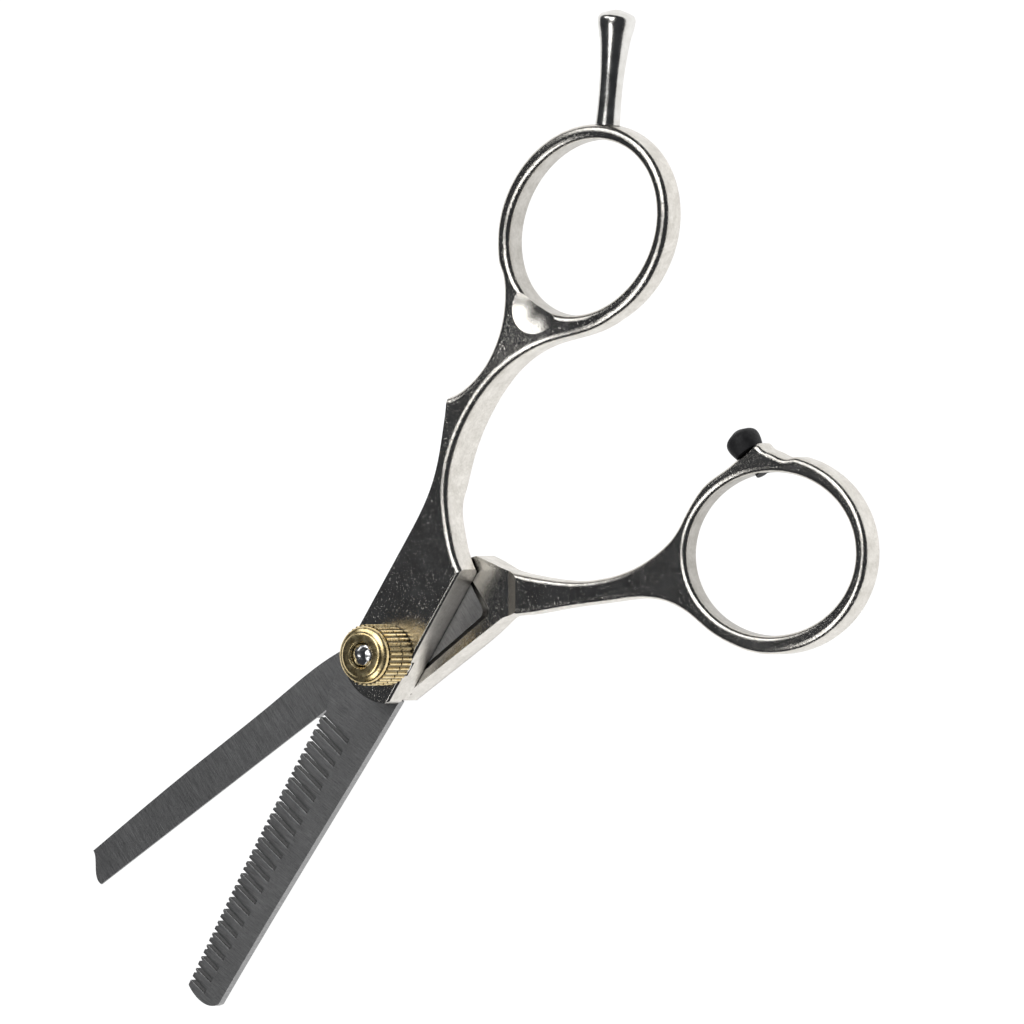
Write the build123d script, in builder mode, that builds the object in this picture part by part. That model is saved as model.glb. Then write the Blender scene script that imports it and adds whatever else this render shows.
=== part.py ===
from build123d import *
from math import cos, radians, sin
import os

# Thinning shears, 5.5 inch class, in millimetres.
# The pivot axis is Z.  The back of the thumb handle's pad lies on Z = 0 and the shears open in the XY
# plane.  The toothed blade points along -Y and the finger handle along +Y.  The thumb half is drawn in
# its closed position and turned open about the pivot by REST_OPENING.

os.makedirs("parts", exist_ok=True)

# ---------------------------------------------------------------- driving dimensions
REST_OPENING = 21.0          # degrees between the drawn position and fully closed
PAD_THICK = 4.7              # one casting at the pivot
FACE_GAP = 0.05              # each half stands this far from the parting plane
PARTING = PAD_THICK          # height of the plane where the halves slide on each other
FINGER_TOP = PARTING + PAD_THICK
PAD_BEVEL = 0.3

BLADE_THICK = 1.3
POCKET_FLOOR_GAP = 0.02      # between a tang and the bottom of its pocket
SLOT_COUNT = 23
SLOT_PITCH = 1.99            # between the first two slots
SLOT_CLOSING = 0.0061        # the pitch shrinks by this much at every slot
SLOT_MOUTH = 0.62            # width of a slot at the tooth tips
SLOT_ROOT = 0.5              # width at its closed end
SLOT_TURN = -7.8             # degrees between a slot and the X axis
FIRST_SLOT_Y = -15.05        # closed end of the first slot
NOTCH_DEEP = 0.4             # V notch in the tip of every tooth
NOTCH_WIDE = 0.55

NECK_R = 2.4                 # pivot screw where the finger half turns on it
NECK_FIT = 0.03              # running clearance in radius
THREAD_R = 1.65
HEAD_R = 3.6
HEAD_THICK = 1.1
HEAD_FIT = 0.05
BUSH_R = 3.2

SEAT_R = 3.8                 # recess in the finger casting under the knob
SEAT_DEEP = 1.2
WASHER_THICK = 0.4
CONE_THICK = 0.3             # spring washer: sheet thickness and free height
CONE_TALL = 0.74
WASHER_R = 3.6               # outside of both washers

KNOB_R = 4.25
KNOB_TALL = 6.85
KNOB_GAP = 0.04
KNOB_HOLE_R = 1.75           # mouth of the hole on top
KNOB_FIT = 0.05              # clearance of the bore on the thread, in radius
KNOB_RIM = 1.35              # smooth domed top above the knurl
KNOB_DOME_R = 4.0
KNOB_WAIST = 0.2             # groove under the dome
KNOB_BAND = 2.75             # upper knurled band
KNOB_GROOVE = 0.3            # plain groove between the two bands
KNURL_COUNT = 36
KNURL_DEEP = 0.22
KNURL_R = 0.26               # rounded flutes between the ridges

DRIVE_R = 0.45               # two spanner holes in the flush head
DRIVE_OUT = 2.2
DRIVE_DEEP = 0.6
EDGE_WIDE = 1.6              # ground bevel along the plain blade's cutting edge
EDGE_TALL = 1.0

PEG_R = 0.9
PEG_DEEP = 1.6               # how far a peg reaches into its casting
PEG_HOLD = 0.9               # how far it reaches into the tang, short of the face

REST_LENGTH = 16.0           # finger rest above the finger ring
REST_STUD_R = 0.95
REST_STUD_LONG = 1.6

STOP_R = 2.45                # rubber bumper
STOP_TALL = 3.6
STOP_STEM_R = 1.0

THUMB = Plane.XY.rotated((0, 0, -REST_OPENING))


def level(height):
    """A drawing plane of the finger half."""
    return Plane.XY.offset(height)


def thumb_level(height):
    """A drawing plane of the thumb half, turned open."""
    return THUMB.offset(height)


# ---------------------------------------------------------------- finger handle
# Ring: centre, half axes of the outside and of the hole, direction of the long axis, depth.
F_RING = (-6.6, 66.4)
F_RING_OUT = (15.15, 13.3)
F_RING_HOLE = (13.1, 11.05)
F_RING_TURN = 80.0
F_RING_DEEP = 4.2
F_RING_MID = PARTING + 0.5
F_RING_LOW = F_RING_MID - F_RING_DEEP / 2
F_RING_HIGH = F_RING_MID + F_RING_DEEP / 2
RING_ROUND = 1.0             # rounding outside the ring and along the shank
HOLE_ROUND = 0.9             # rounding inside the ring

F_LEFT = -6.15               # the straight sides of the pad
F_RIGHT = 3.65
F_CORNER = (F_RIGHT, 16.5)   # where the inner curve of the shank starts
F_LOW_START = 20.4           # where the shank drops past the parting plane

SCOOP_AT = (-6.9, 53.7, 16.75)    # ball that dishes the foot of the ring
SCOOP_R = 10.0

TANG_GAP = 0.5               # between a tang's outline and its pocket
TANG_ROUND = 1.2
F_TANG_LEFT = -4.4
F_TANG_RIGHT = 2.1
F_TANG_TOP = 13.5
F_HEEL_LEFT = -3.6           # where the blade narrows to its tang, left and right
F_HEEL_RIGHT = -5.6
F_PEGS = ((-2.7, 9.6), (0.5, 9.6))
F_POCKET_TOP = PARTING + FACE_GAP + BLADE_THICK + POCKET_FLOOR_GAP
SEAT_FLOOR = FINGER_TOP - SEAT_DEEP

REST_ANGLE = 34.4            # place of the finger rest round the ring, from its long axis
REST_TURN = 117.0            # direction of its axis
REST_DIR = Vector(1, 0, 0).rotate(Axis.Z, REST_TURN)
REST_BASE = Vector(*F_RING, F_RING_MID) + Vector(
    F_RING_OUT[0] * cos(radians(REST_ANGLE)), F_RING_OUT[1] * sin(radians(REST_ANGLE))
).rotate(Axis.Z, F_RING_TURN)

with BuildPart() as finger_handle:
    with BuildSketch(level(0)):
        with BuildLine():
            ring_arc = EllipticalCenterArc(
                F_RING, *F_RING_OUT, start_angle=-107, arc_size=242, rotation=F_RING_TURN
            )
            right_curve = Spline(
                ring_arc @ 0, (2.8, 55.6), (-3.0, 49.2), (-5.6, 44.6), (-6.9, 39.6), (-7.1, 34.6),
                (-5.9, 28.0), (-3.4, 23.1), (0.1, 19.2), F_CORNER,
                tangents=(-(ring_arc % 0), (0.86, -0.5)),
            )
            right_side = Line(right_curve @ 1, (F_RIGHT, -5.4))
            heel_corner = Line(right_side @ 1, (F_RIGHT - 0.5, -6.0))
            heel = ThreePointArc(heel_corner @ 1, (-0.9, -7.0), (F_LEFT, -4.4))
            left_side = Line(heel @ 1, (F_LEFT, 14.5))
            left_curve = Spline(
                left_side @ 1, (-6.7, 23.5), (-7.8, 27.4), (-9.4, 31.2), (-11.3, 35.0),
                tangents=((0, 1), (-0.52, 0.85)),
            )
            spur = Line(left_curve @ 1, (-11.1, 35.7))
            Spline(
                spur @ 1, (-9.7, 38.6), (-9.15, 42.0), (-9.65, 45.8), (-11.5, 50.2), (-14.1, 53.6),
                ring_arc @ 1,
                tangents=((0.62, 0.78), -(ring_arc % 1)),
            )
        make_face()
        with Locations(F_RING):
            Ellipse(*F_RING_HOLE, rotation=F_RING_TURN, mode=Mode.SUBTRACT)
    extrude(amount=FINGER_TOP)
    # Side view: the pad, the shank stepping down past the parting plane, and the ring.
    with BuildSketch(Plane.YZ.offset(-40)):
        with BuildLine():
            low_pad = Line((-10, PARTING + FACE_GAP), (F_LOW_START, PARTING + FACE_GAP))
            low_shank = Spline(
                low_pad @ 1, (24.0, PARTING - 1.25), (29.0, PARTING - 2.1), (39.0, PARTING - 2.2),
                (53.0, F_RING_LOW),
                tangents=((1, 0), (1, 0)),
            )
            low_ring = Line(low_shank @ 1, (90, F_RING_LOW))
            ring_end = Line(low_ring @ 1, (90, F_RING_HIGH))
            top_ring = Line(ring_end @ 1, (57.0, F_RING_HIGH))
            top_shank = Spline(
                top_ring @ 1, (42.0, FINGER_TOP - 0.75), (26.0, FINGER_TOP),
                tangents=((-1, 0), (-1, 0)),
            )
            top_pad = Line(top_shank @ 1, (-10, FINGER_TOP))
            Line(top_pad @ 1, low_pad @ 0)
        make_face()
    extrude(amount=80, mode=Mode.INTERSECT)
    # The rounding runs along the inner side of the shank and round the ring, front and back.
    outer_rims = finger_handle.edges().filter_by(lambda edge: 60 < edge.length < 64)
    fillet(outer_rims, radius=RING_ROUND)
    hole_rims = finger_handle.edges().filter_by(
        lambda edge: edge.length > 14
        and edge.center().X < 6
        and abs(edge.center().Y - F_RING[1]) < 16
        and (Vector((edge @ 0).X, (edge @ 0).Y) - Vector(*F_RING)).length < F_RING_HOLE[0] + 0.1
    )
    fillet(hole_rims, radius=HOLE_ROUND)
    with Locations(SCOOP_AT):
        Sphere(SCOOP_R, mode=Mode.SUBTRACT)
    # Pocket for the tang in the underside, open at the heel where the blade comes out.
    with BuildSketch(level(PARTING)):
        with BuildLine():
            Polyline(
                (F_TANG_LEFT - TANG_GAP, F_TANG_TOP + TANG_GAP),
                (F_TANG_RIGHT + TANG_GAP, F_TANG_TOP + TANG_GAP),
                (F_TANG_RIGHT + TANG_GAP, F_HEEL_RIGHT + TANG_GAP),
                (F_RIGHT + 1, F_HEEL_RIGHT + TANG_GAP),
                (F_RIGHT + 1, -9),
                (F_LEFT - 1, -9),
                (F_LEFT - 1, F_HEEL_LEFT + TANG_GAP),
                (F_TANG_LEFT - TANG_GAP, F_HEEL_LEFT + TANG_GAP),
                close=True,
            )
        make_face()
    extrude(amount=F_POCKET_TOP - PARTING, mode=Mode.SUBTRACT)
    with BuildSketch(level(PARTING)):
        Circle(BUSH_R)
    extrude(amount=PAD_THICK, mode=Mode.SUBTRACT)
    with BuildSketch(level(SEAT_FLOOR)):
        Circle(SEAT_R)
    extrude(amount=SEAT_DEEP, mode=Mode.SUBTRACT)
    with BuildSketch(level(F_POCKET_TOP)):
        with Locations(*F_PEGS):
            Circle(PEG_R)
    extrude(amount=PEG_DEEP, mode=Mode.SUBTRACT)
    with BuildSketch(Plane(origin=REST_BASE - REST_DIR * REST_STUD_LONG, z_dir=REST_DIR)):
        Circle(REST_STUD_R)
    extrude(amount=REST_STUD_LONG + 1, mode=Mode.SUBTRACT)
    # Bevel along the straight right side of the pad.
    with BuildSketch(Plane.XZ.offset(-F_CORNER[1])):
        Polygon(
            (F_RIGHT - PAD_BEVEL, FINGER_TOP), (F_RIGHT, FINGER_TOP), (F_RIGHT, FINGER_TOP - PAD_BEVEL),
            align=None,
        )
    extrude(amount=F_CORNER[1] + 8, mode=Mode.SUBTRACT)

finger_handle.part.label = "finger_handle"
export_step(finger_handle.part, "parts/finger_handle.step")

# ---------------------------------------------------------------- toothed blade
ROOT_X = -0.85               # closed end of the first slot, and its drift per mm along the blade
ROOT_DRIFT = 0.021
SLOT_LONG = 7.5              # slot cutters run out past the tooth tips
SLOT_YS = [
    FIRST_SLOT_Y - SLOT_PITCH * n + SLOT_CLOSING * n * (n - 1) / 2 for n in range(SLOT_COUNT)
]
NOTCH_RISE = 0.6             # a tooth's tip lies this much higher than its root
TEETH_TOP = (-6.46, -14.44)  # ends of the line of tooth tips
TEETH_END = (-4.6, -58.1)

with BuildPart() as toothed_blade:
    with BuildSketch(level(PARTING + FACE_GAP)):
        with BuildLine():
            tang = Polyline(
                (F_TANG_LEFT, F_HEEL_LEFT), (F_TANG_LEFT, F_TANG_TOP), (F_TANG_RIGHT, F_TANG_TOP),
                (F_TANG_RIGHT, F_HEEL_RIGHT), (3.33, F_HEEL_RIGHT),
            )
            spine = Spline(tang @ 1, (2.7, -20.46), (1.78, -39.4), (1.1, -57.6))
            tip = Spline(spine @ 1, (0.2, -58.5), (-2.67, -58.8), TEETH_END)
            tooth_line = ThreePointArc(tip @ 1, (-6.0, -34.0), TEETH_TOP)
            throat = Line(tooth_line @ 1, (-6.08, -13.47))
            Spline(throat @ 1, (-7.08, -11.47), (-7.5, -7.94), (-6.6, -4.9), tang @ 0)
        make_face()
        fillet(vertices().sort_by(Axis.Y)[-2:], radius=TANG_ROUND)
    extrude(amount=BLADE_THICK)
    # Comb slots, wider at the mouth.
    with BuildSketch(level(PARTING + FACE_GAP)):
        for slot_y in SLOT_YS:
            root_x = ROOT_X + ROOT_DRIFT * (slot_y - FIRST_SLOT_Y)
            with Locations(Location((root_x, slot_y), SLOT_TURN)):
                Polygon(
                    (0, SLOT_ROOT / 2), (-SLOT_LONG, SLOT_MOUTH / 2 + 0.03),
                    (-SLOT_LONG, -SLOT_MOUTH / 2 - 0.03), (0, -SLOT_ROOT / 2), align=None,
                )
    extrude(amount=BLADE_THICK, mode=Mode.SUBTRACT)
    # V notch in the tip of every tooth, half way between two slots.
    with BuildSketch(level(PARTING + FACE_GAP)):
        for upper, lower in zip(SLOT_YS, SLOT_YS[1:]):
            notch_y = (upper + lower) / 2 + NOTCH_RISE
            along = (notch_y - TEETH_TOP[1]) / (TEETH_END[1] - TEETH_TOP[1])
            with Locations(tooth_line @ (1 - along)):
                Polygon(
                    (NOTCH_DEEP, 0), (-0.5, NOTCH_WIDE), (-0.5, -NOTCH_WIDE), align=None
                )
    extrude(amount=BLADE_THICK, mode=Mode.SUBTRACT)
    with BuildSketch(level(PARTING)):
        Circle(BUSH_R)
    extrude(amount=PAD_THICK, mode=Mode.SUBTRACT)
    with BuildSketch(level(F_POCKET_TOP - POCKET_FLOOR_GAP)):
        with Locations(*F_PEGS):
            Circle(PEG_R)
    extrude(amount=-PEG_HOLD, mode=Mode.SUBTRACT)

toothed_blade.part.label = "toothed_blade"
export_step(toothed_blade.part, "parts/toothed_blade.step")

with BuildPart() as toothed_blade_pegs:
    with BuildSketch(level(F_POCKET_TOP - POCKET_FLOOR_GAP - PEG_HOLD)):
        with Locations(*F_PEGS):
            Circle(PEG_R)
    extrude(amount=PEG_HOLD + POCKET_FLOOR_GAP + PEG_DEEP)

toothed_blade_pegs.part.label = "toothed_blade_pegs"
export_step(toothed_blade_pegs.part, "parts/toothed_blade_pegs.step")

# ---------------------------------------------------------------- finger rest
with BuildPart() as finger_rest:
    with BuildSketch(Plane(origin=REST_BASE, x_dir=REST_DIR, z_dir=(0, 0, 1))):
        with BuildLine():
            stud = Polyline(
                (0, 1.75), (0, REST_STUD_R), (-REST_STUD_LONG, REST_STUD_R), (-REST_STUD_LONG, 0)
            )
            middle = Line(stud @ 1, (REST_LENGTH, 0))
            dome = Spline(
                middle @ 1, (REST_LENGTH - 0.35, 1.5), (REST_LENGTH - 1.5, 2.65),
                tangents=((0, 1), (-1, 0)),
            )
            Spline(
                dome @ 1, (12.5, 2.32), (9.9, 1.95), (7.3, 1.74), (4.6, 1.65), stud @ 0,
                tangents=((-1, 0), (-1, 0.05)),
            )
        make_face()
    revolve(axis=Axis(REST_BASE, REST_DIR))

finger_rest.part.label = "finger_rest"
export_step(finger_rest.part, "parts/finger_rest.step")

# ---------------------------------------------------------------- thumb handle
# Drawn closed.  The side view runs along the line from the pivot to the ring.
T_RING = (24.2, 57.25)
T_RING_OUT = (15.9, 13.85)
T_RING_HOLE = (13.75, 11.3)
T_RING_TURN = 56.0
T_RING_DEEP = 3.4
T_RING_MID = PARTING - 0.6
T_RING_LOW = T_RING_MID - T_RING_DEEP / 2
T_RING_HIGH = T_RING_MID + T_RING_DEEP / 2

T_LEFT = -4.6                # the sides of the pad
T_RIGHT = 4.4
T_SIDE = 54.0                # direction of the side view
T_STEP = 16.9                # distance from the pivot where the shank rises
T_STEP_LONG = 1.6
T_SHANK_TOP = PARTING + 0.65
T_ROUND = 0.85

T_TANG_LEFT = -3.5
T_TANG_RIGHT = 3.0
T_TANG_TOP = 14.4
T_HEEL_LEFT = -4.2
T_HEEL_RIGHT = -3.6
T_PEGS = ((-1.9, 10.2), (1.4, 10.2))
T_FACE = PARTING - FACE_GAP
T_POCKET_FLOOR = T_FACE - BLADE_THICK - POCKET_FLOOR_GAP

BOSS_X = 10.4                # flat seat of the bumper on the ring
STOP_Y = 62.1
STOP_STEM_LONG = 3.6
STOP_PLANE = Plane(
    origin=THUMB.from_local_coords(Vector(BOSS_X, STOP_Y, T_RING_MID)),
    x_dir=-THUMB.x_dir, z_dir=(0, 0, 1),
)

T_SIDE_PLANE = Plane(
    origin=(0, 0, 0), x_dir=THUMB.x_dir.rotate(Axis.Z, T_SIDE),
    z_dir=-THUMB.y_dir.rotate(Axis.Z, T_SIDE),
)

with BuildPart() as thumb_handle:
    with BuildSketch(thumb_level(0)):
        with BuildLine():
            ring_arc = EllipticalCenterArc(
                T_RING, *T_RING_OUT, start_angle=-94, arc_size=166, rotation=T_RING_TURN
            )
            boss_top = Spline(
                ring_arc @ 1, (14.8, 66.9), (12.9, 65.6), (BOSS_X + 0.4, 64.7),
                tangents=(ring_arc % 1, (-1, 0.1)),
            )
            boss_face = Polyline(boss_top @ 1, (BOSS_X, 64.4), (BOSS_X, 59.4))
            inner_curve = Spline(
                boss_face @ 1, (10.1, 54.2), (11.4, 49.4), (12.75, 45.9), (13.05, 41.7),
                (12.42, 37.45), (10.37, 32.26), (5.6, 25.7), (0.54, 20.68), (-4.3, 17.5),
                tangents=((0, -1), (-0.83, -0.55)),
            )
            pad_corner = Line(inner_curve @ 1, (T_LEFT, 16.8))
            inner_side = Line(pad_corner @ 1, (T_LEFT, -4.6))
            heel = ThreePointArc(inner_side @ 1, (0.1, -7.0), (T_RIGHT, -4.8))
            outer_side = Line(heel @ 1, (5.2, 15.5))
            Spline(
                outer_side @ 1, (6.2, 17.9), (10.1, 25.0), (14.1, 32.1), (16.6, 36.3),
                (19.55, 39.45), (23.15, 41.45), (27.01, 42.75), (31.21, 45.05), ring_arc @ 0,
                tangents=((0.04, 1), ring_arc % 0),
            )
        make_face()
        with Locations(T_RING):
            Ellipse(*T_RING_HOLE, rotation=T_RING_TURN, mode=Mode.SUBTRACT)
    extrude(amount=FINGER_TOP)
    # Side view: the pad, the shank and the ring.
    with BuildSketch(T_SIDE_PLANE.offset(-40)):
        with BuildLine():
            low_pad = Line((-10, 0), (10, 0))
            low_shank = Spline(
                low_pad @ 1, (18, 1.7), (27, T_RING_LOW), (46.0, T_RING_LOW),
                tangents=((1, 0), (1, 0)),
            )
            low_ring = Line(low_shank @ 1, (90, T_RING_LOW))
            ring_end = Line(low_ring @ 1, (90, T_RING_HIGH))
            top_shank = Spline(
                ring_end @ 1, (66, T_RING_HIGH), (50, T_RING_HIGH), (34, T_RING_HIGH - 0.2),
                (T_STEP, T_SHANK_TOP),
                tangents=((-1, 0), (-1, 0)),
            )
            top_pad = Line(top_shank @ 1, (-10, T_SHANK_TOP))
            Line(top_pad @ 1, low_pad @ 0)
        make_face()
    extrude(amount=80, mode=Mode.INTERSECT)
    # Rounding along both sides of the shank and round the ring, one rim after the other.
    outer_rim = thumb_handle.edges().filter_by(lambda edge: 44.5 < edge.length < 45.5)
    fillet(outer_rim, radius=T_ROUND)
    inner_rim = thumb_handle.edges().filter_by(lambda edge: 43.3 < edge.length < 43.8)
    fillet(inner_rim, radius=T_ROUND)
    hole_rims = thumb_handle.edges().filter_by(lambda edge: edge.length > 70)
    fillet(hole_rims, radius=T_ROUND)
    # The pad lies lower than the shank, behind a short ramp.
    with BuildSketch(T_SIDE_PLANE.offset(-40)):
        Polygon(
            (T_STEP, T_FACE), (T_STEP + 2 * T_STEP_LONG, 2 * T_SHANK_TOP - T_FACE),
            (-12, 2 * T_SHANK_TOP - T_FACE), (-12, T_FACE), align=None,
        )
    extrude(amount=80, mode=Mode.SUBTRACT)
    # Pocket for the tang, open at the heel where the blade comes out.
    with BuildSketch(thumb_level(T_POCKET_FLOOR)):
        with BuildLine():
            Polyline(
                (T_TANG_LEFT - TANG_GAP, T_TANG_TOP + TANG_GAP),
                (T_TANG_RIGHT + TANG_GAP, T_TANG_TOP + TANG_GAP),
                (T_TANG_RIGHT + TANG_GAP, T_HEEL_RIGHT + TANG_GAP),
                (T_RIGHT + 1, T_HEEL_RIGHT + TANG_GAP),
                (T_RIGHT + 1, -9),
                (T_LEFT - 1, -9),
                (T_LEFT - 1, T_HEEL_LEFT + TANG_GAP),
                (T_TANG_LEFT - TANG_GAP, T_HEEL_LEFT + TANG_GAP),
                close=True,
            )
        make_face()
        fillet(vertices().sort_by(Axis.Y)[-2:], radius=TANG_ROUND)
    extrude(amount=PAD_THICK, mode=Mode.SUBTRACT)
    with BuildSketch(thumb_level(0)):
        Circle(NECK_R)
    extrude(amount=PAD_THICK, mode=Mode.SUBTRACT)
    with BuildSketch(thumb_level(0)):
        Circle(HEAD_R + HEAD_FIT)
    extrude(amount=HEAD_THICK, mode=Mode.SUBTRACT)
    with BuildSketch(thumb_level(T_POCKET_FLOOR)):
        with Locations(*T_PEGS):
            Circle(PEG_R)
    extrude(amount=-PEG_DEEP, mode=Mode.SUBTRACT)
    with BuildSketch(Plane(origin=STOP_PLANE.origin, z_dir=STOP_PLANE.x_dir)):
        Circle(STOP_STEM_R)
    extrude(amount=-STOP_STEM_LONG - 1, mode=Mode.SUBTRACT)

thumb_handle.part.label = "thumb_handle"
export_step(thumb_handle.part, "parts/thumb_handle.step")

# ---------------------------------------------------------------- plain blade
EDGE_TIP = (-3.9, -60.35)
EDGE_HEEL = (-1.55, -14.6)
EDGE_DIR = (THUMB.x_dir * (EDGE_HEEL[0] - EDGE_TIP[0]) + THUMB.y_dir * (EDGE_HEEL[1] - EDGE_TIP[1]))
EDGE_PLANE = Plane(
    origin=THUMB.from_local_coords(Vector(*EDGE_TIP, T_FACE - BLADE_THICK)) - EDGE_DIR.normalized(),
    x_dir=EDGE_DIR.rotate(Axis.Z, -90), z_dir=EDGE_DIR,
)

with BuildPart() as plain_blade:
    with BuildSketch(thumb_level(T_FACE)):
        with BuildLine():
            tang = Polyline(
                (T_TANG_RIGHT, T_HEEL_RIGHT), (T_TANG_RIGHT, T_TANG_TOP - 0.5),
                (T_TANG_LEFT, T_TANG_TOP + 0.2), (T_TANG_LEFT, T_HEEL_LEFT), (-6.1, T_HEEL_LEFT - 1.4),
            )
            spine = Spline(tang @ 1, (-6.9, -8.94), (-7.6, -20.87), (-8.25, -40.41), (-8.5, -58.67))
            end = Spline(spine @ 1, (-5.9, -60.04), (-4.43, -60.5), EDGE_TIP)
            edge = Line(end @ 1, EDGE_HEEL)
            Spline(edge @ 1, (0.6, -11.8), (3.4, -8.4), (4.1, -5.4), tang @ 0)
        make_face()
        fillet(vertices().sort_by(Axis.Y)[-2:], radius=TANG_ROUND)
    extrude(amount=-BLADE_THICK)
    with BuildSketch(thumb_level(T_FACE)):
        Circle(NECK_R)
    extrude(amount=-BLADE_THICK, mode=Mode.SUBTRACT)
    with BuildSketch(thumb_level(T_FACE - BLADE_THICK)):
        with Locations(*T_PEGS):
            Circle(PEG_R)
    extrude(amount=PEG_HOLD, mode=Mode.SUBTRACT)
    # Ground edge bevel on the outer face.
    with BuildSketch(EDGE_PLANE):
        Polygon((-EDGE_WIDE, 0), (0, -EDGE_TALL), (1, -EDGE_TALL), (1, 0), align=None)
    extrude(amount=44, mode=Mode.SUBTRACT)

plain_blade.part.label = "plain_blade"
export_step(plain_blade.part, "parts/plain_blade.step")

with BuildPart() as plain_blade_pegs:
    with BuildSketch(thumb_level(T_POCKET_FLOOR - PEG_DEEP)):
        with Locations(*T_PEGS):
            Circle(PEG_R)
    extrude(amount=PEG_DEEP + POCKET_FLOOR_GAP + PEG_HOLD)

plain_blade_pegs.part.label = "plain_blade_pegs"
export_step(plain_blade_pegs.part, "parts/plain_blade_pegs.step")

# ---------------------------------------------------------------- bumper
with BuildPart() as bumper:
    with BuildSketch(STOP_PLANE):
        with BuildLine():
            foot = Polyline(
                (0, STOP_R - 0.4), (0, STOP_STEM_R), (-STOP_STEM_LONG, STOP_STEM_R),
                (-STOP_STEM_LONG, 0), (STOP_TALL, 0),
            )
            dome = Spline(
                foot @ 1, (STOP_TALL - 0.45, 1.35), (STOP_TALL - 1.8, STOP_R),
                tangents=((0, 1), (-1, 0)),
            )
            Spline(dome @ 1, (0.8, STOP_R - 0.15), foot @ 0, tangents=((-1, 0), (-1, -0.4)))
        make_face()
    revolve(axis=Axis(STOP_PLANE.origin, STOP_PLANE.x_dir))

bumper.part.label = "bumper"
export_step(bumper.part, "parts/bumper.step")

# ---------------------------------------------------------------- pivot
KNOB_LOW = FINGER_TOP + KNOB_GAP
KNOB_HIGH = KNOB_LOW + KNOB_TALL
NECK_TOP = SEAT_FLOOR + WASHER_THICK - 0.1
SCREW_TOP = KNOB_HIGH - 0.1

with BuildPart() as pivot_screw:
    with BuildSketch(Plane.XZ):
        with BuildLine():
            shape = Polyline(
                (0, 0), (HEAD_R, 0), (HEAD_R, HEAD_THICK), (NECK_R, HEAD_THICK), (NECK_R, NECK_TOP),
                (THREAD_R, NECK_TOP), (THREAD_R, SCREW_TOP - 0.6),
            )
            dome = Spline(
                shape @ 1, (1.2, SCREW_TOP - 0.12), (0, SCREW_TOP), tangents=((0, 1), (-1, 0))
            )
            Line(dome @ 1, shape @ 0)
        make_face()
    revolve(axis=Axis.Z)
    with BuildSketch(thumb_level(0)):
        with Locations((DRIVE_OUT, 0), (-DRIVE_OUT, 0)):
            Circle(DRIVE_R)
    extrude(amount=DRIVE_DEEP, mode=Mode.SUBTRACT)

pivot_screw.part.label = "pivot_screw"
export_step(pivot_screw.part, "parts/pivot_screw.step")

with BuildPart() as pivot_bush:
    with BuildSketch(level(PARTING + FACE_GAP)):
        Circle(BUSH_R)
        Circle(NECK_R + NECK_FIT, mode=Mode.SUBTRACT)
    extrude(amount=SEAT_FLOOR - PARTING - FACE_GAP)

pivot_bush.part.label = "pivot_bush"
export_step(pivot_bush.part, "parts/pivot_bush.step")

with BuildPart() as thrust_washer:
    with BuildSketch(level(SEAT_FLOOR)):
        Circle(WASHER_R)
        Circle(NECK_R + 0.08, mode=Mode.SUBTRACT)
    extrude(amount=WASHER_THICK)

thrust_washer.part.label = "thrust_washer"
export_step(thrust_washer.part, "parts/thrust_washer.step")

# A coned sheet ring standing on its outer rim, its inner rim under the knob.
CONE_FOOT = SEAT_FLOOR + WASHER_THICK
CONE_HOLE_R = THREAD_R + 0.35

with BuildPart() as spring_washer:
    with BuildSketch(Plane.XZ):
        with BuildLine():
            Polyline(
                (WASHER_R - 0.1, CONE_FOOT), (WASHER_R, CONE_FOOT + CONE_THICK),
                (CONE_HOLE_R, CONE_FOOT + CONE_TALL),
                (CONE_HOLE_R, CONE_FOOT + CONE_TALL - CONE_THICK),
                close=True,
            )
        make_face()
    revolve(axis=Axis.Z)

spring_washer.part.label = "spring_washer"
export_step(spring_washer.part, "parts/spring_washer.step")

# ---------------------------------------------------------------- tension knob
BAND_TOP = KNOB_TALL - KNOB_RIM
GROOVE_TOP = BAND_TOP - KNOB_BAND

with BuildPart() as tension_knob:
    with BuildSketch(Plane.XZ):
        with BuildLine():
            shape = Polyline(
                (THREAD_R + KNOB_FIT, KNOB_LOW), (KNOB_R - 0.2, KNOB_LOW), (KNOB_R, KNOB_LOW + 0.2),
                (KNOB_R, KNOB_LOW + GROOVE_TOP - KNOB_GROOVE),
                (KNOB_R - KNURL_DEEP, KNOB_LOW + GROOVE_TOP - KNOB_GROOVE),
                (KNOB_R - KNURL_DEEP, KNOB_LOW + GROOVE_TOP), (KNOB_R, KNOB_LOW + GROOVE_TOP),
                (KNOB_R, KNOB_LOW + BAND_TOP), (KNOB_R - 0.45, KNOB_LOW + BAND_TOP),
                (KNOB_R - 0.45, KNOB_LOW + BAND_TOP + KNOB_WAIST),
                (KNOB_DOME_R, KNOB_LOW + BAND_TOP + KNOB_WAIST),
            )
            dome = Spline(
                shape @ 1, (KNOB_DOME_R - 0.2, KNOB_HIGH - 0.55),
                (KNOB_DOME_R - 0.75, KNOB_HIGH - 0.27), (KNOB_DOME_R - 1.7, KNOB_HIGH),
                tangents=((0, 1), (-1, 0)),
            )
            Polyline(
                dome @ 1, (KNOB_HOLE_R + 0.2, KNOB_HIGH), (KNOB_HOLE_R, KNOB_HIGH - 0.2),
                (KNOB_HOLE_R, KNOB_HIGH - 1.5), (THREAD_R + KNOB_FIT, KNOB_HIGH - 1.65), shape @ 0,
            )
        make_face()
    revolve(axis=Axis.Z)
    with BuildSketch(level(KNOB_LOW)):
        with PolarLocations(KNOB_R + KNURL_R - KNURL_DEEP, KNURL_COUNT):
            Circle(KNURL_R)
    extrude(amount=BAND_TOP, mode=Mode.SUBTRACT)

tension_knob.part.label = "tension_knob"
export_step(tension_knob.part, "parts/tension_knob.step")
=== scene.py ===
import math

import bpy
from mathutils import Matrix, Vector


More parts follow.
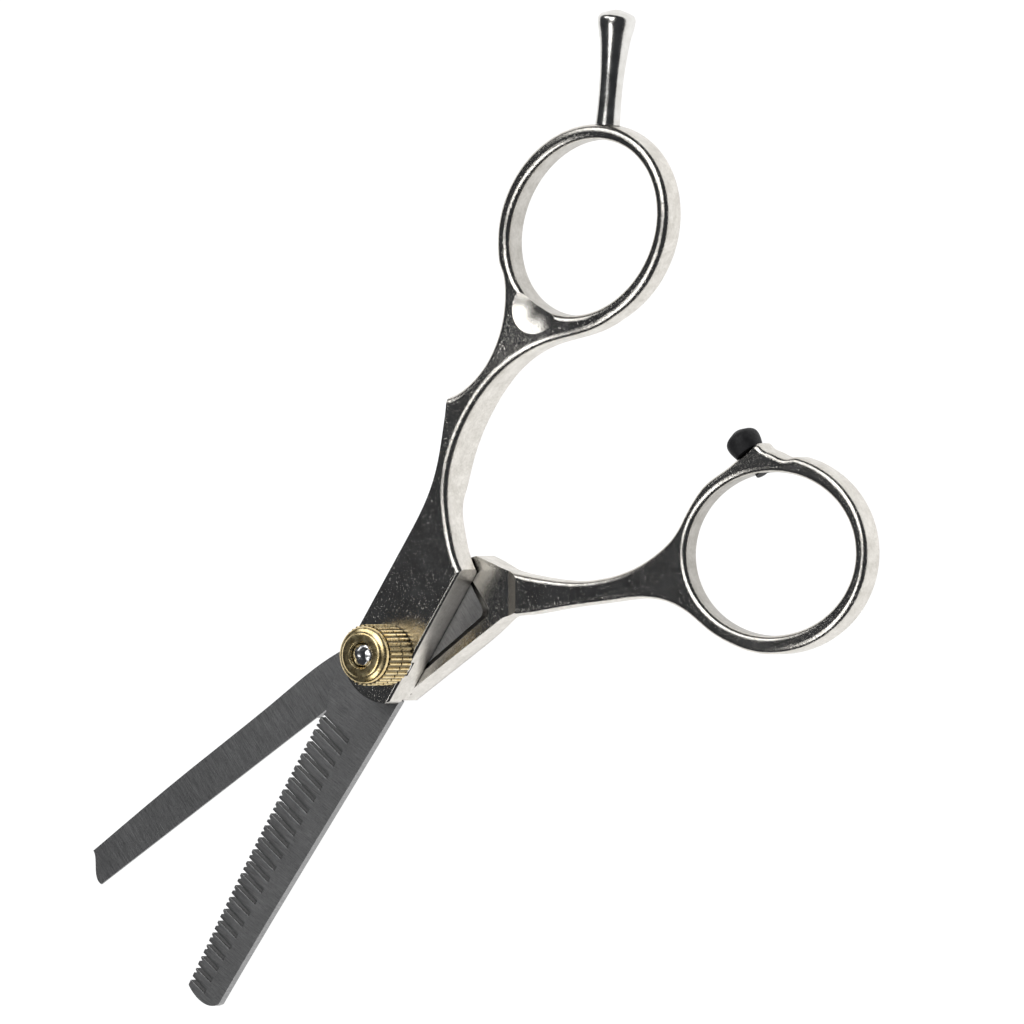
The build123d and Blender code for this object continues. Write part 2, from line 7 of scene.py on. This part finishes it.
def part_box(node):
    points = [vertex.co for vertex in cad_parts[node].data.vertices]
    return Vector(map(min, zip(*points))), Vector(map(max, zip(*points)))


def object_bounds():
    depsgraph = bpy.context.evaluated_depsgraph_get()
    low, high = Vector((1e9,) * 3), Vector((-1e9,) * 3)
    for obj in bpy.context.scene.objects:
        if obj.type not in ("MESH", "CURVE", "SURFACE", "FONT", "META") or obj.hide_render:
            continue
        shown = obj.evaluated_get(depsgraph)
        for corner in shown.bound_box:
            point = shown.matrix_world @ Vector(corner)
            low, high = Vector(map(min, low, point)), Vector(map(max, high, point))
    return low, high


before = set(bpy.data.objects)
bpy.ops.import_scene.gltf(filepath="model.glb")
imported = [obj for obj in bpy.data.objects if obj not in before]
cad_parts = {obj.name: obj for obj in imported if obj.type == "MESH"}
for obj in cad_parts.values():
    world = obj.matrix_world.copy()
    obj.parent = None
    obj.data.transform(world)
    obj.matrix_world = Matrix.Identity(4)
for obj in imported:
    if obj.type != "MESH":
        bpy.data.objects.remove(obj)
cad_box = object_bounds()

scene = bpy.context.scene
scene.view_settings.view_transform = "Standard"
scene.view_settings.look = "None"
scene.cycles.use_denoising = True

MM = 0.001
REST_OPENING = 21.0                          # degrees the thumb half is turned open at rest
FINGER_RING = (-6.6, 66.4)                   # middle of the finger hole, in mm
THUMB_RING = (43.1, 44.8)                    # middle of the thumb hole, in mm


def placed(at, x, y, z):
    """The matrix of an object at a point, with its axes along x, y and z."""
    return Matrix.Translation(at) @ Matrix((x, y, z)).transposed().to_4x4()


# ---------------------------------------------------------------- camera
RIGHT = Vector((0.7036, 0.4569, -0.5444))    # the photograph's right
UP = Vector((-0.5446, 0.8387, 0))            # the photograph's up
LOOK_AT = Vector((3.90, 26.22, 4.7)) * MM    # the middle of the picture
FRAME_WIDE = 142.2 * MM                      # width that the picture covers there
LENS = 1000.0                                # mm, so long that the view is nearly parallel
SENSOR = 36.0
CLIP_NEAR, CLIP_FAR = 0.5, 20.0              # m

toward = RIGHT.cross(UP).normalized()
up = toward.cross(RIGHT).normalized()
right = up.cross(toward).normalized()
camera_data = bpy.data.cameras.new("camera")
camera_data.lens = LENS
camera_data.sensor_width = SENSOR
camera_data.clip_start = CLIP_NEAR
camera_data.clip_end = CLIP_FAR
camera = bpy.data.objects.new("camera", camera_data)
scene.collection.objects.link(camera)
camera.matrix_world = placed(LOOK_AT + toward * (FRAME_WIDE * LENS / SENSOR), right, up, toward)
scene.camera = camera

# ---------------------------------------------------------------- lights
ACROSS = Vector((toward.x, toward.y, 0)).normalized()  # level, towards the camera
ALONG = Vector((-ACROSS.y, ACROSS.x, 0))               # level, up the picture
MIDDLE = Vector((15, 12, 0)) * MM                      # what the lights are aimed at


def softbox(name, angle, turn, far, wide, tall, radiance):
    """A rectangular light aimed at the middle.

    angle is in degrees from straight up towards ACROSS, and turn from there towards ALONG.
    far, wide and tall are in metres.
    """
    a, t = math.radians(angle), math.radians(turn)
    overhead = Vector((0, 0, 1)) * math.cos(a) + ACROSS * math.sin(a)
    back = overhead * math.cos(t) + ALONG * math.sin(t)
    data = bpy.data.lights.new(name, "AREA")
    data.shape = "RECTANGLE"
    data.size, data.size_y = wide, tall
    data.energy = radiance * math.pi * wide * tall
    light = bpy.data.objects.new(name, data)
    light.visible_camera = False
    scene.collection.objects.link(light)
    side = (ACROSS - back * ACROSS.dot(back)).normalized()
    light.matrix_world = placed(MIDDLE + back * far, side, back.cross(side), back)


softbox("upper", 3, 27, 1.0, 0.44, 0.76, 3.2)
softbox("lower", -6, -27, 1.0, 0.28, 0.76, 3.6)
softbox("far_end", -34, 38, 1.2, 0.55, 0.45, 2.4)

# ---------------------------------------------------------------- world
SEEN = (0.93, 0.93, 0.93, 1)                 # what the camera sees past the floor
MIRRORED = (0.033, 0.035, 0.039, 1)          # what the metal mirrors between the lights

world = bpy.data.worlds.new("studio")
scene.world = world
world.use_nodes = True
sky = world.node_tree
sky.nodes.clear()
seen = sky.nodes.new("ShaderNodeBackground")
seen.inputs["Color"].default_value = SEEN
mirrored = sky.nodes.new("ShaderNodeBackground")
mirrored.inputs["Color"].default_value = MIRRORED
path = sky.nodes.new("ShaderNodeLightPath")
mix = sky.nodes.new("ShaderNodeMixShader")
out = sky.nodes.new("ShaderNodeOutputWorld")
sky.links.new(path.outputs["Is Camera Ray"], mix.inputs["Fac"])
sky.links.new(mirrored.outputs[0], mix.inputs[1])
sky.links.new(seen.outputs[0], mix.inputs[2])
sky.links.new(mix.outputs[0], out.inputs["Surface"])

# ---------------------------------------------------------------- materials
SHADER_SAMPLES = 6                           # rays for a rounded edge or for painted shade in a corner


class Nodes:
    """A new material's node tree with a Principled shader, and short calls to add to it."""

    def __init__(self, name, **sockets):
        self.mat = bpy.data.materials.new(name)
        self.mat.use_nodes = True
        self.tree = self.mat.node_tree
        self.tree.nodes.clear()
        self.shader = self.add("ShaderNodeBsdfPrincipled")
        surface = self.add("ShaderNodeOutputMaterial").inputs["Surface"]
        self.link(self.shader.outputs[0], surface)
        self.coord = self.add("ShaderNodeTexCoord").outputs["Object"]
        for key, value in sockets.items():
            self.shader.inputs[key.replace("_", " ")].default_value = value

    def add(self, kind, **props):
        node = self.tree.nodes.new(kind)
        for key, value in props.items():
            setattr(node, key, value)
        return node

    def link(self, a, b):
        self.tree.links.new(a, b)

    def set(self, socket, value):
        self.link(value, self.shader.inputs[socket])

    def fill(self, slot, value):
        """Link a socket to the slot, or write a plain value in it."""
        if isinstance(value, bpy.types.NodeSocket):
            self.link(value, slot)
        else:
            slot.default_value = value

    def math(self, operation, a, b=0.0):
        node = self.add("ShaderNodeMath", operation=operation)
        self.fill(node.inputs[0], a)
        self.fill(node.inputs[1], b)
        return node.outputs[0]

    def vector(self, operation, a, b):
        """Vector maths on two vectors, or for SCALE on a vector and a number."""
        node = self.add("ShaderNodeVectorMath", operation=operation)
        self.fill(node.inputs[0], a)
        self.fill(node.inputs["Scale" if operation == "SCALE" else 1], b)
        return node.outputs["Value" if operation == "DOT_PRODUCT" else "Vector"]

    def length(self, a):
        node = self.add("ShaderNodeVectorMath", operation="LENGTH")
        self.link(a, node.inputs[0])
        return node.outputs["Value"]

    def part(self, vector, axis):
        node = self.add("ShaderNodeSeparateXYZ")
        self.link(vector, node.inputs[0])
        return node.outputs[axis]

    def mapped(self, scale, turn=0.0):
        """Object coordinates turned about Z and scaled to the given counts per mm."""
        node = self.add("ShaderNodeMapping")
        self.link(self.coord, node.inputs["Vector"])
        node.inputs["Rotation"].default_value = (0, 0, math.radians(turn))
        return self.vector("MULTIPLY", node.outputs[0], [s * 1000 for s in scale])

    def even(self, count):
        """Object coordinates with the same count per mm on every axis."""
        return self.mapped((count, count, count))

    def noise(self, vector, detail, roughness=0.5):
        node = self.add("ShaderNodeTexNoise")
        self.link(vector, node.inputs["Vector"])
        node.inputs["Scale"].default_value = 1.0
        node.inputs["Detail"].default_value = detail
        node.inputs["Roughness"].default_value = roughness
        return node.outputs["Fac"]

    def cells(self, vector):
        node = self.add("ShaderNodeTexVoronoi")
        self.link(vector, node.inputs["Vector"])
        node.inputs["Scale"].default_value = 1.0
        return node.outputs["Distance"]

    def span(self, value, low, high, to_low, to_high):
        node = self.add("ShaderNodeMapRange")
        self.link(value, node.inputs["Value"])
        keys = ("From Min", "From Max", "To Min", "To Max")
        for key, v in zip(keys, (low, high, to_low, to_high)):
            node.inputs[key].default_value = v
        return node.outputs[0]

    def ramp(self, value, *stops):
        node = self.add("ShaderNodeValToRGB")
        self.link(value, node.inputs["Fac"])
        for end, (place, colour) in zip(node.color_ramp.elements, stops):
            end.position = place
            end.color = (*colour, 1)
        return node.outputs["Color"]

    def bump(self, height, distance_mm, strength, onto=None):
        node = self.add("ShaderNodeBump")
        self.link(height, node.inputs["Height"])
        node.inputs["Distance"].default_value = distance_mm * MM
        node.inputs["Strength"].default_value = strength
        if onto is not None:
            self.link(onto, node.inputs["Normal"])
        return node.outputs[0]

    def rounded(self, radius_mm):
        node = self.add("ShaderNodeBevel", samples=SHADER_SAMPLES)
        node.inputs["Radius"].default_value = radius_mm * MM
        return node.outputs[0]

    def corner(self, reach_mm):
        """How open the surface is to its surroundings within reach, from 0 to 1."""
        node = self.add("ShaderNodeAmbientOcclusion", samples=SHADER_SAMPLES)
        node.inputs["Distance"].default_value = reach_mm * MM
        return node.outputs["AO"]

    def facing(self):
        return self.add("ShaderNodeNewGeometry").outputs["True Normal"]

    def flat(self, facing):
        """1 on a level face, 0 on an upright wall."""
        return self.math("ABSOLUTE", self.part(facing, "Z"))


WALL_FLAT = (0.3, 0.6)       # flat() from a casting's satin wall to its polished face
WALL_ROUGHNESS = 0.36
HOLE_INWARD = (-4.0, -2.0)   # mm from the ring's middle along the normal, negative facing it
HOLE_REACH = (14.5, 15.5)    # mm from the ring's middle, just past its hole


def hole_wall(n, facing, ring):
    """1 where the surface faces the middle of the ring from inside its hole, 0 elsewhere."""
    out_from = n.vector("SUBTRACT", n.coord, (ring[0] * MM, ring[1] * MM, 0))
    level = n.vector("MULTIPLY", out_from, (1, 1, 0))
    away = n.length(level)
    inward = n.vector("DOT_PRODUCT", level, facing)
    low, high = HOLE_INWARD
    near, far = HOLE_REACH
    return n.math("MULTIPLY", n.span(inward, low * MM, high * MM, 1.0, 0.0),
                  n.span(away, near * MM, far * MM, 1.0, 0.0))


def plated(name, ring, hole_shade):
    """Nickel-plated casting: polished faces with grain and pits, and satin walls.

    Painted shade darkens the corners, and the walls inside the hole at ring by the given factor.
    """
    n = Nodes(name, Metallic=1.0)
    wave = n.noise(n.even(0.35), 2.0)
    pits = n.span(n.cells(n.even(2.2)), 0.0, 0.25, 0.0, 1.0)
    spared = n.span(n.noise(n.even(0.6), 3.0, 0.6), 0.42, 0.55, 0.0, 1.0)
    grain = n.noise(n.even(2.4), 5.0, 0.8)
    specks = n.noise(n.even(3.6), 2.0, 0.6)
    normal = n.bump(wave, 0.04, 0.5, n.rounded(0.12))
    normal = n.bump(n.math("MAXIMUM", pits, spared), 0.03, 0.8, normal)
    n.set("Normal", n.bump(grain, 0.03, 1.0, normal))

    facing = n.facing()
    wall = n.span(n.flat(facing), *WALL_FLAT, 1.0, 0.0)
    inside = n.math("MULTIPLY", hole_wall(n, facing, ring), wall)
    smear = n.noise(n.even(0.45), 5.0, 0.65)
    tone = n.math("ADD", n.math("MULTIPLY", smear, 0.5), n.math("MULTIPLY", grain, 0.5))
    metal = n.ramp(tone, (0.38, (0.60, 0.575, 0.525)), (0.62, (0.84, 0.81, 0.76)))
    # Painted shade, darker in corners and gaps.
    painted_shading = n.span(n.corner(0.9), 0.25, 0.8, 0.12, 1.0)
    # Painted shade on the walls inside the ring's hole, darker by the given factor.
    shade = n.math("MULTIPLY", painted_shading, n.span(inside, 0.0, 1.0, 1.0, hole_shade))
    n.set("Base Color", n.vector("SCALE", metal, shade))
    n.set("Roughness", n.math("MAXIMUM", n.span(specks, 0.46, 0.76, 0.13, 0.29),
                              n.math("MULTIPLY", wall, WALL_ROUGHNESS)))
    return n.mat


COMB_FIRST = -15.123         # mm along the comb at the root of the first slot
COMB_ALONG = 0.997           # share of Y in the distance along the comb
COMB_SLANT = 0.137           # share of X in it, which slants the slots
COMB_PITCH = 1.99            # mm between the first two slots
COMB_CLOSING = 0.00163       # how much closer the slots stand towards the tip
COMB_SLOTS = 23
COMB_ROOTS = -0.534          # X in mm of the line of slot roots where it crosses Y = 0
COMB_DRIFT = 0.021           # slope of that line
COMB_FADE = 0.15             # mm past the roots over which the bands fade out
# Where a band comes and goes, in slot pitches from the slot's own line, and its tone
SLOT_SHADE_BAND = (-0.40, -0.15), (0.12, 0.14), 0.5      # painted shade beside each slot
EDGE_HIGHLIGHT_BAND = (0.14, 0.16), (0.18, 0.21), 1.6       # painted highlight on its other side
BANDS_START = (-0.42, -0.4)                        # in slots, just before the first one
BANDS_END = (COMB_SLOTS - 0.8, COMB_SLOTS - 0.78)  # just past the last one
# Painted shade on the slots' upright walls, and its tone
SLOT_WALLS_END = (0.2, 0.3)  # X in mm up to which upright walls are the slots' own
SLOT_WALL_FLAT = (0.4, 0.6)  # flat() from a slot's wall to the blade's face
SLOT_WALL_SHADE = 0.05


def band(n, value, comes, goes, tone):
    """The tone inside a band of the value, and 1 outside it."""
    joined = "MAXIMUM" if tone < 1 else "MINIMUM"
    return n.math(joined, n.span(value, *comes, 1.0, tone), n.span(value, *goes, tone, 1.0))


def comb_shade_and_highlight(n):
    """Painted shade and highlight on the comb: each tooth is darker beside one slot, and has a
    painted highlight line by the next.
    """
    mm = n.vector("SCALE", n.coord, 1000)
    x, y = n.part(mm, "X"), n.part(mm, "Y")
    along = n.math("ADD", n.math("MULTIPLY", y, COMB_ALONG), n.math("MULTIPLY", x, COMB_SLANT))
    even = n.math("DIVIDE", n.math("SUBTRACT", COMB_FIRST, along), COMB_PITCH)
    product = n.math("MULTIPLY", even, n.math("SUBTRACT", even, 1.0))
    extra = n.math("MULTIPLY", product, COMB_CLOSING)
    count = n.math("ADD", even, extra)
    off = n.math("SUBTRACT", count, n.math("ROUND", count))
    # Painted shade beside each slot, and a painted highlight line by the next.
    dark = band(n, off, *SLOT_SHADE_BAND)
    light = band(n, off, *EDGE_HIGHLIGHT_BAND)
    past_roots = n.math("SUBTRACT", x, n.math("MULTIPLY", y, COMB_DRIFT))
    left = n.span(past_roots, COMB_ROOTS, COMB_ROOTS + COMB_FADE, 1.0, 0.0)
    first = n.span(count, *BANDS_START, 0.0, 1.0)
    last = n.span(count, *BANDS_END, 1.0, 0.0)
    within = n.math("MULTIPLY", left, n.math("MULTIPLY", first, last))
    change = n.math("SUBTRACT", n.math("MULTIPLY", dark, light), 1.0)
    return n.math("ADD", n.math("MULTIPLY", change, within), 1.0)


def blade(name, turn, comb=False):
    """Ground blade steel, with fine brush lines turned by turn degrees.

    Corners get painted shade. With comb, the slots' walls get painted shade too, and each tooth
    gets painted shade beside one slot and a painted highlight line by the next.
    """
    n = Nodes(name, Metallic=1.0, Anisotropic=0.3)
    fine = n.noise(n.mapped((0.4, 8.0, 1.0), turn), 4.0, 0.75)
    grain = n.noise(n.even(2.8), 4.0, 0.8)
    smear = n.noise(n.mapped((0.2, 0.16, 0.3), turn), 3.0, 0.5)
    normal = n.bump(fine, 0.014, 1.0, n.rounded(0.09))
    n.set("Normal", n.bump(grain, 0.03, 0.9, normal))
    tone = n.math("ADD", n.math("MULTIPLY", fine, 0.6), n.math("MULTIPLY", grain, 0.25))
    tone = n.math("ADD", tone, n.math("MULTIPLY", smear, 0.15))
    metal = n.ramp(tone, (0.38, (0.22, 0.22, 0.221)), (0.62, (0.41, 0.408, 0.409)))
    # Painted shade, darker in corners and gaps.
    painted_shading = n.span(n.corner(0.6), 0.3, 0.8, 0.25, 1.0)
    # Painted shade on the slots' walls, and painted shade and highlights on the teeth.
    if comb:
        wall = n.span(n.flat(n.facing()), *SLOT_WALL_FLAT, SLOT_WALL_SHADE, 1.0)
        start, end = SLOT_WALLS_END
        past = n.span(n.part(n.coord, "X"), start * MM, end * MM, 0.0, 1.0)
        painted_shading = n.math("MULTIPLY", painted_shading, n.math("MAXIMUM", wall, past))
        painted_shading = n.math("MULTIPLY", painted_shading, comb_shade_and_highlight(n))
    n.set("Base Color", n.vector("SCALE", metal, painted_shading))
    n.set("Roughness", n.span(fine, 0.3, 0.7, 0.38, 0.46))
    return n.mat


KNOB_FLUTES = (4.02, 4.2)    # mm from the knob's axis, from flute bottom with painted shade to crest without it
KNOB_RIM = (1.19, 1.13)      # mm below the knob's top, where its dome starts
FLUTE_SHADE = 0.12            # tone of the painted shade in the flutes and grooves


def brass():
    """Turned brass, with painted shade darkening it brown at the bottom of the flutes and
    grooves.
    """
    n = Nodes("turned_brass", Metallic=1.0)
    rings = n.noise(n.mapped((0.15, 0.15, 9.0)), 2.0, 0.6)
    spots = n.noise(n.even(1.1), 4.0, 0.6)
    n.set("Normal", n.bump(rings, 0.008, 0.7, n.rounded(0.08)))
    metal = n.ramp(spots, (0.32, (0.68, 0.50, 0.22)), (0.68, (0.94, 0.79, 0.47)))
    from_axis = n.length(n.vector("MULTIPLY", n.coord, (1000, 1000, 0)))
    # Painted shade at the bottom of the flutes and grooves, but not on the dome.
    crest = n.span(from_axis, *KNOB_FLUTES, FLUTE_SHADE, 1.0)
    start, end = (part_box("tension_knob")[1].z - below * MM for below in KNOB_RIM)
    dome = n.span(n.part(n.coord, "Z"), start, end, 0.0, 1.0)
    n.set("Base Color", n.vector("SCALE", metal, n.math("MAXIMUM", crest, dome)))
    n.set("Roughness", n.span(spots, 0.3, 0.7, 0.22, 0.32))
    return n.mat


def bright():
    """Polished steel with fine grain and faint smears."""
    n = Nodes("bright_steel", Metallic=1.0)
    grain = n.noise(n.even(5), 4.0, 0.75)
    tint = n.noise(n.even(0.6), 4.0, 0.6)
    n.set("Normal", n.bump(grain, 0.012, 0.8, n.rounded(0.1)))
    n.set("Base Color", n.ramp(tint, (0.3, (0.66, 0.645, 0.61)), (0.7, (0.80, 0.79, 0.765))))
    n.set("Roughness", n.span(tint, 0.3, 0.7, 0.15, 0.24))
    return n.mat


def screw():
    """Bright screw steel with the small dents of a peened end."""
    n = Nodes("screw_steel", Metallic=1.0)
    dents = n.cells(n.even(0.8))
    grain = n.noise(n.even(4), 3.0, 0.6)
    normal = n.bump(dents, 0.3, 1.0, n.rounded(0.08))
    n.set("Normal", n.bump(grain, 0.01, 0.8, normal))
    n.set("Base Color", n.ramp(grain, (0.3, (0.62, 0.62, 0.62)), (0.7, (0.88, 0.88, 0.88))))
    n.set("Roughness", n.span(grain, 0.3, 0.7, 0.12, 0.22))
    return n.mat


def rubber():
    """Moulded black rubber, matte with a fine grain."""
    n = Nodes("bumper_rubber", Specular_IOR_Level=0.35)
    grain = n.noise(n.even(8), 4.0, 0.6)
    dust = n.noise(n.even(1.2), 4.0, 0.6)
    n.set("Normal", n.bump(grain, 0.015, 0.7))
    n.set("Base Color", n.ramp(dust, (0.35, (0.010, 0.010, 0.011)), (0.7, (0.026, 0.026, 0.028))))
    n.set("Roughness", n.span(grain, 0.3, 0.7, 0.5, 0.7))
    return n.mat


def paper_floor():
    """Backlit white sheet, bright enough to drown shadows."""
    n = Nodes("floor_sheet", Roughness=0.9, Specular_IOR_Level=0.1, Emission_Strength=1.0)
    fibre = n.noise(n.even(0.4), 4.0, 0.6)
    n.set("Base Color", n.ramp(fibre, (0.3, (0.16, 0.16, 0.16)), (0.7, (0.20, 0.20, 0.20))))
    n.set("Emission Color", n.ramp(fibre, (0.3, (0.97, 0.97, 0.97)), (0.7, (1.0, 1.0, 1.0))))
    return n.mat


looks = {
    "brass": brass(),
    "bright": bright(),
    "screw": screw(),
    "rubber": rubber(),
    "finger_casting": plated("finger_casting", FINGER_RING, 0.74),
    "thumb_casting": plated("thumb_casting", THUMB_RING, 0.62),
    "finger_blade": blade("toothed_blade_steel", 0.0, comb=True),
    "thumb_blade": blade("plain_blade_steel", REST_OPENING),
}
WEARS = {
    "finger_handle": "finger_casting",
    "thumb_handle": "thumb_casting",
    "toothed_blade": "finger_blade",
    "plain_blade": "thumb_blade",
    "toothed_blade_pegs": "bright",
    "plain_blade_pegs": "bright",
    "finger_rest": "bright",
    "pivot_bush": "brass",
    "thrust_washer": "bright",
    "spring_washer": "bright",
    "pivot_screw": "screw",
    "tension_knob": "brass",
    "bumper": "rubber",
}
for node, look in WEARS.items():
    for place in bpy.data.objects[node].material_slots:
        place.material = looks[look]

# ---------------------------------------------------------------- floor
REACH = 3.0                  # m from the middle to each side
GAP = 0.02 * MM              # below the shears

floor_mesh = bpy.data.meshes.new("floor")
corners = [(-REACH, -REACH, 0), (REACH, -REACH, 0), (REACH, REACH, 0), (-REACH, REACH, 0)]
floor_mesh.from_pydata(corners, [], [(0, 1, 2, 3)])
floor_mesh.materials.append(paper_floor())
floor = bpy.data.objects.new("floor", floor_mesh)
floor.location.z = cad_box[0].z - GAP
scene.collection.objects.link(floor)

bpy.context.view_layer.update()
